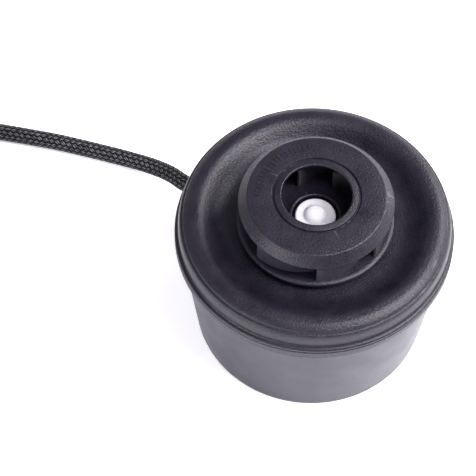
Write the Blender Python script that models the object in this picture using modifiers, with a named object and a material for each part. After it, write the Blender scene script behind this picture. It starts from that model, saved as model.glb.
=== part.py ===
"""Wind sensor head: a seven-vane wheel on a ball-bearing spindle, over a dished lid on a
tapered round base, with a sleeved lead that ends in a coil and a round connector.

Metres, +Z up. The origin is the centre of the base's rest face. Every dimension below is in
millimetres, and MM turns it into metres where a mesh is made.
"""

import math

import bmesh
import bpy
from mathutils import Matrix, Vector

MM = 0.001
GAP = 0.3  # between pieces that touch

# Base and lid
FOOT_R, WALL_TOP_R = 40.1, 45.6  # the base's taper
WALL_TOP_Z = 45.3
BASE_WALL = 2.5
FLOOR_Z = 3.0
LIP_R, LIP_Z = 45.0, 49.9  # the base's lip inside the lid's skirt
SKIRT_R = 47.84
SKIRT_Z = 46.9
DISH_Z, DISH_R = 55.2, 29.0
CREST_Z, CREST_R = 60.4, 40.4
EDGE_Z, EDGE_R = 58.4, 45.0
LID_FLOOR_Z = 52.3  # the lid's flat underside
NECK_R = 12.0

# Wheel
VANES = 7
VANE_T = 1.3
VANE_OUT_R, VANE_IN_R = 25.1, 13.5
VANE_START, VANE_SWEEP = -86.0, 103.0  # degrees; the radius falls as the angle grows
VANE_CURVE = 0.42  # the share of that fall that is quadratic
DISC_R, DISC_TOP_Z, DISC_Z = 26.9, 59.3, 57.5
PLATE_R, PLATE_FACE_R, PLATE_Z = 26.46, 23.5, 68.2
EYE_R, EYE_Z = 11.9, 73.4
EYE_FLARE_R, EYE_FLARE_Z = 14.7, 72.4  # the eye's wall opens downwards
HUB_R, HUB_RECESS_R, HUB_RECESS_Z, COLLAR_Z = 11.0, 7.9, 56.9, 60.6
BOSS_R, BOSS_Z = 5.4, 49.5
CAP_R, CAP_Z, NUB_R, CAP_TOP_Z = 6.9, 60.4, 3.8, 62.5

# Spindle and bearings (6 x 19 x 6)
SHAFT_R, STUD_R, SHAFT_Z, SHOULDER_Z, STUD_Z = 3.0, 2.4, 14.0, 56.6, 60.9
BEARING_R, BEARING_H = 9.5, 6.0
LOWER_Z, UPPER_Z = 23.5, 43.2
RACE_IN_R, RACE_OUT_R = 4.6, 7.9
BALLS, BALL_R, PITCH_R = 7, 1.3, 6.25
HOUSING_R, HOUSING_Z, HOUSING_TOP_Z = 12.0, 22.0, 52.0

# Fasteners and the board
LID_SCREW_R, LID_SCREW_ANGLES = 31.0, (52, 172, 292)
SPLIT_Z = 30.0  # where the base's columns meet the lid's
BOARD_R, BOARD_Z, BOARD_T = 25.5, 8.0, 1.6
POST_R, INSERT_R = 21.0, 20.0
INSERT_ANGLES = (-8, 112, 232)

# Gland: its distances run outwards from the object's axis
GLAND_ANGLE, GLAND_Z = 137.0, 10.0
PAD_OUT, PAD_IN, PAD_R = 43.4, 36.3, 7.6
NUT_FACE = 56.0

# Lead: a sleeved cable, its coil and its connector
LEAD_R = 3.0
LEAD_START = 45.0  # inside the gland
LEAD_ROUTE = [  # from the gland's nut to the coil, along the rest surface
    (-48.4, 43.0, 8.4), (-54.3, 47.9, 6.5), (-62.0, 52.0, 4.7), (-71.6, 55.2, 3.5),
    (-80.9, 57.5, 3.05), (-96.1, 60.5, 3.0), (-107.4, 62.1, 3.0), (-118.8, 63.5, 3.0),
    (-129.0, 65.0, 3.0), (-138.6, 66.5, 3.2),
]
TAIL_ROUTE = [  # from the coil's top layer down to the connector's boot
    (-205.5, 5.6, 13.2), (-205.5, 0.5, 10.6), (-205.5, -4.0, 8.4), (-205.5, -8.0, 7.62),
    (-205.5, -9.7, 7.6),
]
COIL_CENTRE, COIL_R, COIL_HALF, COIL_LIFT = (-165.0, 28.0), 34.5, 9.0, 1.2
TIE_ANGLE, TIE_T, TIE_W = 250.0, 0.8, 8.0
PLUG_X, PLUG_Y, PLUG_Z = -205.5, -10.0, 7.6

BIG, MEDIUM, SMALL, SLIM = 40, 24, 12, 16  # sides of round pieces

# Colour (linear), roughness, metallic
BLACK_TEXTURED = ((0.055, 0.053, 0.066), 0.55, 0.0)
BLACK_SATIN = ((0.075, 0.073, 0.090), 0.40, 0.0)
WHITE_NYLON = ((0.86, 0.85, 0.88), 0.35, 0.0)
BRIGHT_STEEL = ((0.60, 0.60, 0.62), 0.25, 1.0)
DARK_STEEL = ((0.20, 0.20, 0.21), 0.35, 1.0)
ALUMINIUM = ((0.70, 0.70, 0.72), 0.35, 1.0)
BRASS = ((0.71, 0.53, 0.24), 0.30, 1.0)
RUBBER = ((0.02, 0.02, 0.02), 0.75, 0.0)
FELT = ((0.30, 0.30, 0.32), 0.95, 0.0)
BOARD_GREEN = ((0.02, 0.16, 0.07), 0.40, 0.0)
CHIP_BLACK = ((0.02, 0.02, 0.02), 0.45, 0.0)
HEADER_WHITE = ((0.75, 0.74, 0.68), 0.45, 0.0)
MAGNET_GREY = ((0.16, 0.16, 0.17), 0.45, 1.0)
WIRE_RED = ((0.45, 0.03, 0.02), 0.45, 0.0)
WIRE_WHITE = ((0.70, 0.70, 0.68), 0.45, 0.0)
SLEEVE = ((0.030, 0.030, 0.032), 0.60, 0.0)


# ------------------------------------------------------------------------------ helpers
def new_collection(name):
    collection = bpy.data.collections.new(name)
    bpy.context.scene.collection.children.link(collection)
    return collection


def material_for(name, look):
    colour, roughness, metallic = look
    material = bpy.data.materials.new(name)
    material.use_nodes = True
    shader = material.node_tree.nodes["Principled BSDF"]
    shader.inputs["Base Color"].default_value = (*colour, 1.0)
    shader.inputs["Roughness"].default_value = roughness
    shader.inputs["Metallic"].default_value = metallic
    return material


def place(name, data, look):
    """A new object in the part's collection, or among the cutters where look is None."""
    item = bpy.data.objects.new(name, data)
    if look is None:
        cutters.objects.link(item)
        item.hide_render = True
        item.display_type = "WIRE"
    else:
        part.objects.link(item)
        data.materials.append(material_for(name, look))
    return item


def mesh_from(bm, name):
    mesh = bpy.data.meshes.new(name)
    bm.to_mesh(mesh)
    bm.free()
    return mesh


def smooth(item, angle=35):
    item.data.shade_smooth()
    item.data.set_sharp_from_angle(angle=math.radians(angle))


def turned(name, profile, look, sides=MEDIUM, closed=True, matrix=None):
    """A profile of (radius, height) turned about Z. It runs down its outer side."""
    bm = bmesh.new()
    points = [bm.verts.new((r * MM, 0, z * MM)) for r, z in profile]
    for a, b in zip(points, points[1:], strict=False):
        bm.edges.new((a, b))
    if closed:
        bm.edges.new((points[-1], points[0]))
    item = place(name, mesh_from(bm, name), look)
    screw = item.modifiers.new("turn", "SCREW")
    screw.steps = sides
    screw.render_steps = sides
    screw.use_merge_vertices = True
    screw.merge_threshold = 0.00005
    if matrix is not None:
        item.matrix_world = matrix
    return item


def ring(name, inner, outer, low, high, look, sides=MEDIUM, matrix=None):
    profile = [(inner, high), (outer, high), (outer, low), (inner, low)]
    return turned(name, profile, look, sides, matrix=matrix)


def baked(item):
    """The item's evaluated mesh, in world space, in place of the item."""
    graph = bpy.context.evaluated_depsgraph_get()
    mesh = bpy.data.meshes.new_from_object(item.evaluated_get(graph))
    mesh.transform(item.matrix_world)
    bpy.data.objects.remove(item)
    return mesh


def copies(name, mesh, matrices, look):
    """One object for each place, numbered from 1. They share the mesh."""
    mesh.materials.clear()
    mesh.materials.append(material_for(name, look))
    for number, matrix in enumerate(matrices, 1):
        item = bpy.data.objects.new(f"{name}_{number}", mesh)
        part.objects.link(item)
        item.matrix_world = matrix


def cylinder(bm, radius, low, high, sides=SMALL, matrix=None):
    """A capped cylinder along Z from low to high, added to bm."""
    middle = Matrix.Translation((0, 0, (low + high) / 2 * MM))
    bmesh.ops.create_cone(
        bm,
        cap_ends=True,
        segments=sides,
        radius1=radius * MM,
        radius2=radius * MM,
        depth=(high - low) * MM,
        matrix=(matrix or Matrix()) @ middle,
    )


def cylinders(name, radius, low, high, matrices, look=None, sides=SMALL):
    bm = bmesh.new()
    for matrix in matrices:
        cylinder(bm, radius, low, high, sides, matrix)
    return place(name, mesh_from(bm, name), look)


def boxes(name, blocks, look=None):
    """Blocks given as (size, centre, turn about Z in degrees), as one object."""
    bm = bmesh.new()
    for size, centre, turn in blocks:
        matrix = (
            Matrix.Rotation(math.radians(turn), 4, "Z")
            @ Matrix.Translation(Vector(centre) * MM)
            @ Matrix.Diagonal((*(Vector(size) * MM), 1))
        )
        bmesh.ops.create_cube(bm, size=1, matrix=matrix)
    return place(name, mesh_from(bm, name), look)


def combine(item, other, operation):
    modifier = item.modifiers.new(operation.lower(), "BOOLEAN")
    modifier.operation = operation
    modifier.object = other
    modifier.solver = "EXACT"


def around(radius, angles):
    """Places on a circle about Z, each turned with its angle."""
    return [
        Matrix.Rotation(math.radians(a), 4, "Z") @ Matrix.Translation((radius * MM, 0, 0))
        for a in angles
    ]


def even_angles(count, start=0.0):
    return [start + 360.0 * i / count for i in range(count)]


def smooth_route(points, spacing):
    """Points about spacing apart on a Catmull-Rom curve through the given ones."""
    p = [Vector(q) for q in points]
    p = [2 * p[0] - p[1], *p, 2 * p[-1] - p[-2]]
    route = [p[1]]
    for a, b, c, d in zip(p, p[1:], p[2:], p[3:], strict=False):
        steps = max(1, round((c - b).length / spacing))
        for i in range(1, steps + 1):
            t = i / steps
            route.append(
                0.5 * (2 * b + (c - a) * t + (2 * a - 5 * b + 4 * c - d) * t**2
                       + (3 * b - a - 3 * c + d) * t**3)
            )
    return route


def tube(name, route, radius, look, resolution=3):
    """A POLY spline with filled caps, through the route's points in millimetres."""
    curve = bpy.data.curves.new(name, "CURVE")
    curve.dimensions = "3D"
    curve.bevel_depth = radius * MM
    curve.bevel_resolution = resolution
    curve.use_fill_caps = True
    spline = curve.splines.new("POLY")
    spline.points.add(len(route) - 1)
    for point, centre in zip(spline.points, route, strict=True):
        point.co = (*(centre * MM), 1)
    return place(name, curve, look)


def gland_matrix():
    """Local Z runs outwards along the gland's axis, from the object's own axis."""
    turn = Matrix.Rotation(math.radians(GLAND_ANGLE), 4, "Z")
    return Matrix.Translation((0, 0, GLAND_Z * MM)) @ turn @ Matrix.Rotation(math.pi / 2, 4, "Y")


def on_gland_axis(distance, side=0.0, height=0.0):
    """A point in millimetres, at a distance along the gland's axis."""
    angle = math.radians(GLAND_ANGLE)
    outwards = Vector((math.cos(angle), math.sin(angle), 0))
    sideways = Vector((-math.sin(angle), math.cos(angle), 0))
    return outwards * distance + sideways * side + Vector((0, 0, GLAND_Z + height))


# ------------------------------------------------------------------------ base and lid
def make_base():
    inner_top_r = LIP_R - BASE_WALL + 0.2
    profile = [
        (0, FLOOR_Z), (FOOT_R - BASE_WALL - 0.2, FLOOR_Z), (inner_top_r, LIP_Z - 3.9),
        (inner_top_r, LIP_Z), (43.1, LIP_Z), (43.1, 48.7), (44.7, 48.7), (44.7, LIP_Z),
        (LIP_R, LIP_Z), (LIP_R, SKIRT_Z - GAP), (47.2, SKIRT_Z - GAP), (47.45, 46.2),
        (47.1, 45.6), (WALL_TOP_R + 0.35, WALL_TOP_Z), (WALL_TOP_R, WALL_TOP_Z - 0.7),
        (FOOT_R + 0.1, 0.7), (FOOT_R - 0.5, 0), (0, 0),
    ]
    base = turned("base_cup", profile, BLACK_SATIN, BIG, closed=False)
    columns = around(LID_SCREW_R, LID_SCREW_ANGLES)
    posts = around(POST_R, LID_SCREW_ANGLES)
    inserts = around(INSERT_R, INSERT_ANGLES)
    gland = [gland_matrix()]
    inside = FLOOR_Z - 1.0
    added = [
        cylinders("columns", 4.2, inside, SPLIT_Z, columns),
        cylinders("board_posts", 3.0, inside, BOARD_Z - GAP, posts),
        cylinders("insert_bosses", 5.0, inside, 6.8, inserts),
        cylinders("gland_pad", PAD_R, PAD_IN, PAD_OUT, gland, sides=SLIM),
    ]
    removed = [
        cylinders("head_bores", 3.2, -1, 22.0, columns),
        cylinders("screw_bores", 1.8, 21.0, SPLIT_Z + 1, columns),
        cylinders("post_bores", 1.3, 4.0, BOARD_Z + 1, posts, sides=12),
        cylinders("insert_bores", 3.2, -1, 5.8, inserts),
        cylinders("gland_bore", 4.4, PAD_IN - 2, PAD_OUT + 2, gland),
    ]
    for item in added:
        combine(base, item, "UNION")
    for item in removed:
        combine(base, item, "DIFFERENCE")
    smooth(base)


def make_lid():
    top = [
        (6.2, 54.3), (NECK_R, 54.3), (NECK_R, 57.0), (13.6, 57.0), (14.4, DISH_Z),
        (DISH_R, DISH_Z), (32.0, 55.6), (34.6, 56.8), (37.0, 58.8), (38.6, 59.9),
        (CREST_R, CREST_Z), (42.6, 60.1), (44.4, 59.0), (EDGE_R, EDGE_Z),
        (45.9, 57.8), (46.6, 55.8), (46.7, 52.8), (47.0, 51.5), (SKIRT_R, 50.9),
        (SKIRT_R, SKIRT_Z + 0.4), (47.5, SKIRT_Z), (LIP_R + 0.4, SKIRT_Z),
    ]
    socket_r = HOUSING_R + GAP
    under = [
        (LIP_R + 0.4, 50.3), (42.4, 50.3), (42.4, 55.2), (40.4, 57.8), (38.4, 57.4),
        (35.4, 54.2), (32.0, LID_FLOOR_Z), (socket_r + 2.7, LID_FLOOR_Z),
        (socket_r + 2.7, 46.0), (socket_r, 46.0), (socket_r, LID_FLOOR_Z), (6.2, LID_FLOOR_Z),
    ]
    lid = turned("lid", top + under, BLACK_TEXTURED, BIG)
    columns = around(LID_SCREW_R, LID_SCREW_ANGLES)
    combine(lid, cylinders("lid_columns", 4.0, SPLIT_Z + GAP, 54.0, columns), "UNION")
    combine(lid, cylinders("lid_pilots", 1.7, SPLIT_Z - 1, 40.5, columns), "DIFFERENCE")
    smooth(lid)
    gasket = turned("lid_gasket", [(43.9 + 0.55 * math.sin(math.radians(a)),
                                    49.5 + 0.5 * math.cos(math.radians(a)))
                                   for a in even_angles(5)], RUBBER, BIG)
    smooth(gasket, 80)


def make_screws():
    """Socket-head screws, head down: they are driven from below."""
    def screw(head_r, shank_r, low, seat, tip):
        body = turned("screw", [(0, tip), (shank_r * 0.6, tip), (shank_r, tip - 0.8),
                                (shank_r, seat), (head_r, seat), (head_r, low + 0.3),
                                (head_r - 0.3, low), (shank_r * 0.8, low),
                                (shank_r * 0.8, low + 1.0), (0, low + 1.0)],
                      None, 12, closed=False)
        return baked(body)

    lid_places = around(LID_SCREW_R, LID_SCREW_ANGLES)
    copies("lid_screw", screw(2.75, 1.4, 18.9, 21.7, 38.0), lid_places, DARK_STEEL)
    downwards = Matrix.Rotation(math.pi, 4, "X")
    board_places = [m @ downwards for m in around(POST_R, LID_SCREW_ANGLES)]
    copies("board_screw", screw(2.2, 1.0, -11.9, -9.9, -4.3), board_places, BRIGHT_STEEL)
    insert = ring("insert", 1.65, 2.9, 0.3, 5.5, None, SMALL)
    copies("mounting_insert", baked(insert), around(INSERT_R, INSERT_ANGLES), BRASS)


# ----------------------------------------------------------- spindle, bearings, housing
def make_housing():
    r, bore = HOUSING_R, BEARING_R + GAP
    profile = [
        (bore, HOUSING_TOP_Z), (r - 0.4, HOUSING_TOP_Z), (r, HOUSING_TOP_Z - 0.4),
        (r, HOUSING_Z + 0.5), (r - 0.5, HOUSING_Z), (8.0, HOUSING_Z), (8.0, 23.2),
        (bore, 23.2), (bore, 49.2), (10.6, 49.2), (10.6, 50.6), (bore, 50.6),
    ]
    housing = turned("bearing_housing", profile, ALUMINIUM)
    smooth(housing)
    spacer_low, spacer_high = LOWER_Z + BEARING_H + GAP, UPPER_Z - GAP
    ring("outer_spacer", RACE_OUT_R, BEARING_R, spacer_low, spacer_high, ALUMINIUM)
    ring("inner_spacer", SHAFT_R + GAP, RACE_IN_R, spacer_low, spacer_high, ALUMINIUM)
    clip = ring("retaining_ring", 8.2, 10.3, 49.5, 50.3, DARK_STEEL)
    opening = boxes("retaining_ring_mouth", [((6, 5, 4), (9.5, 0, 50), 90)])
    combine(clip, opening, "DIFFERENCE")
    ring("shaft_seal", BOSS_R + GAP, BEARING_R, 50.9, 51.8, FELT)


def make_bearing(prefix, low):
    """Two rings, and the balls in the cage that spaces them."""
    high, middle = low + BEARING_H, low + BEARING_H / 2
    smooth(ring(prefix + "_outer_ring", RACE_OUT_R, BEARING_R, low, high, BRIGHT_STEEL))
    smooth(ring(prefix + "_inner_ring", SHAFT_R + GAP, RACE_IN_R, low, high, BRIGHT_STEEL))
    bm = bmesh.new()
    for matrix in around(PITCH_R, even_angles(BALLS)):
        at = matrix @ Matrix.Translation((0, 0, middle * MM))
        bmesh.ops.create_uvsphere(
            bm, u_segments=8, v_segments=5, radius=BALL_R * MM, matrix=at
        )
    balls = place(prefix + "_balls", mesh_from(bm, prefix + "_balls"), None)
    cage = ring(prefix + "_ball_cage", PITCH_R - 0.6, PITCH_R + 0.6, middle + 0.7, middle + 1.7,
                BRIGHT_STEEL)
    combine(cage, balls, "UNION")
    smooth(cage, 80)


def make_spindle():
    profile = [
        (0, STUD_Z), (STUD_R - 0.4, STUD_Z), (STUD_R, STUD_Z - 0.4), (STUD_R, SHOULDER_Z),
        (SHAFT_R, SHOULDER_Z), (SHAFT_R, 23.1), (2.5, 23.1), (2.5, 22.1), (SHAFT_R, 22.1),
        (SHAFT_R, SHAFT_Z + 0.4), (SHAFT_R - 0.4, SHAFT_Z), (0, SHAFT_Z),
    ]
    smooth(turned("spindle", profile, BRIGHT_STEEL, SLIM, closed=False))
    clip = ring("shaft_clip", 2.8, 4.7, 22.3, 22.9, DARK_STEEL, SLIM)
    mouth = boxes("shaft_clip_mouth", [((6, 3.2, 4), (4, 0, 22.6), 0)])
    combine(clip, mouth, "DIFFERENCE")


def make_magnet():
    bore = SHAFT_R + GAP
    profile = [
        (bore, 21.5), (5.8, 21.5), (5.8, 17.5), (9.4, 17.5), (9.4, 12.2), (8.9, 12.2),
        (8.9, 15.7), (4.6, 15.7), (4.6, 12.2), (bore, 12.2),
    ]
    carrier = turned("magnet_carrier", profile, CHIP_BLACK)
    radial = Matrix.Translation((0, 0, 19.5 * MM)) @ Matrix.Rotation(math.pi / 2, 4, "Y")
    combine(carrier, cylinders("set_screw_bore", 1.1, 2.0, 7.0, [radial], sides=12),
            "DIFFERENCE")
    smooth(carrier)
    cylinders("carrier_screw", 0.75, bore + 0.1, 5.7, [radial], DARK_STEEL, 12)
    smooth(ring("ring_magnet", 4.9, 8.6, 12.4, 15.4, MAGNET_GREY))


# -------------------------------------------------------------------------------- wheel
def vane_radius(share):
    """The vane's centre line, from its outer edge at 0 to its inner edge at 1."""
    fall = (1 - VANE_CURVE) * share + VANE_CURVE * share**2
    return VANE_OUT_R - (VANE_OUT_R - VANE_IN_R) * fall


def vane_outline(start, steps=12):
    """A closed outline about the centre line, as thick as the vane, in millimetres."""
    line = []
    for i in range(steps + 1):
        angle = math.radians(start + VANE_SWEEP * i / steps)
        radius = vane_radius(i / steps)
        line.append(Vector((radius * math.cos(angle), radius * math.sin(angle))))
    sides = []
    for i, point in enumerate(line):
        along = line[min(i + 1, steps)] - line[max(i - 1, 0)]
        across = Vector((-along.y, along.x)).normalized() * VANE_T / 2
        sides.append((point + across, point - across))
    left = [a for a, _ in sides]
    right = [b for _, b in sides]
    return left + right[::-1]


def make_wheel():
    low, high = DISC_TOP_Z + GAP, PLATE_Z - GAP
    for number, start in enumerate(even_angles(VANES, VANE_START), 1):
        name = f"vane_{number}"
        curve = bpy.data.curves.new(name, "CURVE")
        curve.dimensions = "2D"
        curve.fill_mode = "BOTH"
        curve.extrude = (high - low) / 2 * MM
        outline = vane_outline(start)
        spline = curve.splines.new("POLY")
        spline.points.add(len(outline) - 1)
        for point, corner in zip(spline.points, outline, strict=True):
            point.co = (corner.x * MM, corner.y * MM, 0, 1)
        spline.use_cyclic_u = True
        place(name, curve, BLACK_TEXTURED).location.z = (low + high) / 2 * MM

    plate = [
        (EYE_R, EYE_Z - 0.3), (EYE_R + 0.3, EYE_Z), (14.4, 72.95), (14.6, 72.5),
        (15.1, 72.5), (15.3, 72.8), (20.0, 72.7), (PLATE_FACE_R - 0.3, 72.45),
        (PLATE_FACE_R + 0.1, 72.25), (PLATE_R, 68.95), (PLATE_R, PLATE_Z + 0.2),
        (PLATE_R - 0.2, PLATE_Z), (EYE_FLARE_R, PLATE_Z), (EYE_R, EYE_FLARE_Z),
    ]
    smooth(turned("rotor_plate", plate, BLACK_TEXTURED, BIG))

    bore = SHAFT_R + GAP
    disc = [
        (bore, HUB_RECESS_Z), (HUB_RECESS_R, HUB_RECESS_Z), (HUB_RECESS_R, COLLAR_Z - 0.3),
        (HUB_RECESS_R + 0.3, COLLAR_Z), (8.8, COLLAR_Z), (9.2, COLLAR_Z - 0.4),
        (13.0, DISC_TOP_Z), (DISC_R - 1.0, DISC_TOP_Z), (DISC_R, 58.85),
        (DISC_R, DISC_Z + 0.3), (DISC_R - 0.4, DISC_Z), (HUB_R, DISC_Z), (HUB_R, 54.9),
        (BOSS_R, 54.9), (BOSS_R, BOSS_Z), (bore, BOSS_Z),
    ]
    smooth(turned("rotor_disc", disc, BLACK_TEXTURED, BIG))


def make_cap():
    bore = STUD_R + GAP
    profile = [
        (0, CAP_TOP_Z), (1.9, CAP_TOP_Z - 0.2), (3.2, CAP_TOP_Z - 0.8),
        (NUB_R, CAP_TOP_Z - 1.7), (NUB_R + 0.2, CAP_Z), (CAP_R - 0.5, CAP_Z),
        (CAP_R, CAP_Z - 0.5), (CAP_R, 58.0), (bore, 58.0), (bore, 61.2), (0, 61.2),
    ]
    smooth(turned("spindle_cap", profile, WHITE_NYLON, MEDIUM, closed=False), 50)
    ring("hub_washer", bore, 6.2, 57.2, 57.7, BRIGHT_STEEL)


# -------------------------------------------------------------------------------- board
def make_board():
    top = BOARD_Z + BOARD_T
    seat = top + GAP
    board = cylinders("circuit_board", BOARD_R, BOARD_Z, top, [Matrix()], BOARD_GREEN, MEDIUM)
    holes = cylinders("board_bores", 1.4, BOARD_Z - 1, top + 1,
                      around(POST_R, LID_SCREW_ANGLES), sides=12)
    combine(board, holes, "DIFFERENCE")
    boxes("hall_sensor", [((4.0, 5.0, 1.5), (6.7, 0, seat + 0.75), 0)], CHIP_BLACK)
    boxes("board_header", [((5.0, 10.0, 6.0), (21.0, 0, seat + 3.0), GLAND_ANGLE)],
          HEADER_WHITE)
    boxes("pulse_chip", [((6.0, 10.0, 1.7), (15.0, 0, seat + 0.85), 250)], CHIP_BLACK)
    turn = Matrix.Rotation(math.radians(320), 4, "Z") @ Matrix.Translation((0.0155, 0, 0))
    cylinders("board_capacitor", 2.5, seat, seat + 5.6, [turn], ALUMINIUM)
    for number, name in enumerate(("power_wire", "signal_wire", "ground_wire")):
        side = 1.7 * (number - 1)
        look = (WIRE_RED, WIRE_WHITE, CHIP_BLACK)[number]
        route = smooth_route([
            on_gland_axis(LEAD_START - 0.4, side),
            on_gland_axis(38.0, side),
            on_gland_axis(31.0, side * 1.3, 1.2),
            on_gland_axis(23.9, side * 1.6, 3.2),
        ], 5.0)
        tube(name, route, 0.55, look, 1)


# -------------------------------------------------------------------------------- gland
def make_gland():
    axis = gland_matrix()
    thread_r, bore = 4.1, LEAD_R + 0.4
    body = turned("gland_body", [(0, 51.5), (5.2, 51.5), (5.2, 46.0), (thread_r, 46.0),
                                 (thread_r, 32.6), (0, 32.6)],
                  BLACK_SATIN, SLIM, closed=False, matrix=axis)
    combine(body, cylinders("gland_hexagon", 7.0, PAD_OUT + GAP, 47.0, [axis], sides=6),
            "UNION")
    combine(body, cylinders("gland_way", bore, 31.0, 53.0, [axis]), "DIFFERENCE")
    nut = [
        (bore, NUT_FACE), (4.4, NUT_FACE), (5.3, 55.3), (6.4, 52.6), (6.4, 47.3),
        (5.5, 47.3), (5.5, 54.6), (bore, 54.6),
    ]
    smooth(turned("gland_nut", nut, BLACK_SATIN, SLIM, matrix=axis))
    smooth(ring("gland_seal", bore, 5.2, 51.8, 54.3, RUBBER, SLIM, matrix=axis))
    locknut = cylinders("gland_locknut", 6.6, 33.0, 36.0, [axis], BLACK_SATIN, 6)
    combine(locknut, cylinders("locknut_bore", 4.4, 31.0, 38.0, [axis]), "DIFFERENCE")


# --------------------------------------------------------------------------------- lead
def make_lead():
    exit_points = [on_gland_axis(d) for d in (LEAD_START, 50.0, NUT_FACE)]
    lead = smooth_route([*exit_points, *LEAD_ROUTE], 13.0)
    tube("cable_lead", lead, LEAD_R, SLEEVE)
    tube("cable_tail", smooth_route(TAIL_ROUTE, 6.0), LEAD_R, SLEEVE)

    half, corner = COIL_HALF, 2.0
    centre = Matrix.Translation((COIL_CENTRE[0] * MM, COIL_CENTRE[1] * MM, 0))
    low, high = COIL_LIFT, COIL_LIFT + 2 * half
    coil = [
        (COIL_R - half + corner, high), (COIL_R + half - corner, high),
        (COIL_R + half, high - corner), (COIL_R + half, low + corner),
        (COIL_R + half - corner, low), (COIL_R - half + corner, low),
        (COIL_R - half, low + corner), (COIL_R - half, high - corner),
    ]
    smooth(turned("cable_coil", coil, SLEEVE, MEDIUM, matrix=centre))

    at = centre @ Matrix.Rotation(math.radians(TIE_ANGLE), 4, "Z")
    middle = (low + high) / 2
    across, tall = 2 * (half + GAP + 0.4), 2 * (half + GAP)
    outside = (across + 2 * TIE_T, TIE_W, tall + 2 * TIE_T)
    inside = (across, 2 * TIE_W, tall)
    tie = boxes("coil_tie", [(outside, (COIL_R, 0, middle), 0)], RUBBER)
    way = boxes("tie_way", [(inside, (COIL_R, 0, middle), 0)])
    tie.matrix_world = at
    way.matrix_world = at
    combine(tie, way, "DIFFERENCE")


def make_plug():
    """A round connector that lies on the rest surface. Local Z points back up the lead."""
    axis = (
        Matrix.Translation((PLUG_X * MM, PLUG_Y * MM, PLUG_Z * MM))
        @ Matrix.Rotation(-math.pi / 2, 4, "X")
    )
    boot = [(0, 0), (3.6, 0), (4.0, -0.6), (5.3, -13.0), (5.3, -14.0), (0, -14.0)]
    smooth(turned("plug_boot", boot, RUBBER, SLIM, closed=False, matrix=axis))
    shell = [
        (0, -14.3), (5.8, -14.3), (6.2, -14.8), (6.2, -20.0), (5.5, -20.0), (5.5, -32.0),
        (4.7, -32.0), (4.7, -24.0), (0, -24.0),
    ]
    smooth(turned("plug_shell", shell, ALUMINIUM, SLIM, closed=False, matrix=axis))
    nut = [(5.8, -20.3), (7.0, -20.3), (7.4, -20.8), (7.4, -32.4), (7.0, -33.0), (5.8, -33.0)]
    smooth(turned("plug_ring", nut, ALUMINIUM, SLIM, matrix=axis))
    insert = cylinders("plug_insert", 4.4, -28.0, -24.3, [axis], CHIP_BLACK, SLIM)
    pins = [axis @ m for m in around(2.3, even_angles(4, 45))]
    combine(insert, cylinders("plug_pins", 0.5, -31.6, -27.0, pins, sides=8), "UNION")


for thing in list(bpy.data.objects):
    bpy.data.objects.remove(thing)
part = new_collection("wind_sensor_head")
cutters = new_collection("cutters")

make_base()
make_lid()
make_screws()
make_housing()
make_bearing("upper", UPPER_Z)
make_bearing("lower", LOWER_Z)
make_spindle()
make_magnet()
make_wheel()
make_cap()
make_board()
make_gland()
make_lead()
make_plug()
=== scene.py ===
"""Looks for the wind sensor head: fine shells, a braided lead and procedural finishes around the
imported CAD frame.

Places are in metres in the CAD's frame. Profiles and routes are in millimetres, and MM turns
them into metres where a mesh is made.
"""

import math

import bmesh
import bpy
import numpy as np
from mathutils import Matrix, Quaternion, Vector


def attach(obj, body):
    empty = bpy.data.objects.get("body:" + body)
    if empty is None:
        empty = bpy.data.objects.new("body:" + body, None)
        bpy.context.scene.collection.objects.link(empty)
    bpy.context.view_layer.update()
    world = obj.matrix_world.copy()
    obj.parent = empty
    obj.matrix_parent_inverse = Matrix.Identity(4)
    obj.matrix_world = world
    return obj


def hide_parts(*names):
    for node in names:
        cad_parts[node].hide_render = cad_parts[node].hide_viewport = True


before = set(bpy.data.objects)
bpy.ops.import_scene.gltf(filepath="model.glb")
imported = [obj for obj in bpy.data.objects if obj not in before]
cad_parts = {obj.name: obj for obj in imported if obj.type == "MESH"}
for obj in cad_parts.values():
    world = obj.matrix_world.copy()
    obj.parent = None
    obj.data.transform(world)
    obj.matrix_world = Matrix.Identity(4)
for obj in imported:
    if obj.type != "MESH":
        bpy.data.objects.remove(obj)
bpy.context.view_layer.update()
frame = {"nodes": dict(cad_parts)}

MM = 0.001
TAU = 2 * math.pi
UP = Vector((0, 0, 1))
ROUND = 192  # sides of the large turned shells
FINE = 64  # sides of the small ones
SHARP_ANGLE = 40.0  # degrees; a sharper edge isn't smoothed
MERGE = 1e-7  # metres; points that are closer become one

# Camera
CAMERA_AT = (0.0, -0.48682, 0.82666)
CAMERA_TARGET = (-0.02555, -0.01002, 0.0584)
CAMERA_ROLL = 1.345  # degrees
CAMERA_LENS, CAMERA_SENSOR = 202.5, 36.0
CAMERA_RANGE = (0.05, 20.0)  # metres, the clip distances

# Light
SURROUND, SURROUND_STRENGTH = (0.93, 0.91, 1.0), 0.50
FLOOR_HALF = 6.0  # metres
FLOOR_TONES = ((0.93, 0.93, 0.94), (0.95, 0.95, 0.95))
FLOOR_GLOW, FLOOR_GLOW_STRENGTH = (0.97, 0.95, 1.0), 0.46
LIGHT_TINT = (0.98, 0.96, 1.0)
SOFTBOXES = [  # name, direction from the object, distance, size and watts
    ("key", (0.65, -0.08, 0.76), 1.1, (0.38, 0.38), 16.0),
    ("top", (0.30, -0.22, 0.92), 1.1, (0.35, 0.35), 8.0),
    ("side", (0.61, 0.53, 0.52), 1.1, (0.42, 0.42), 10.0),
    ("fill", (-0.50, -0.78, 0.36), 0.9, (0.60, 0.22), 3.2),
    ("low", (-0.71, -0.62, 0.33), 0.9, (0.25, 0.15), 2.6),
]

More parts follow.
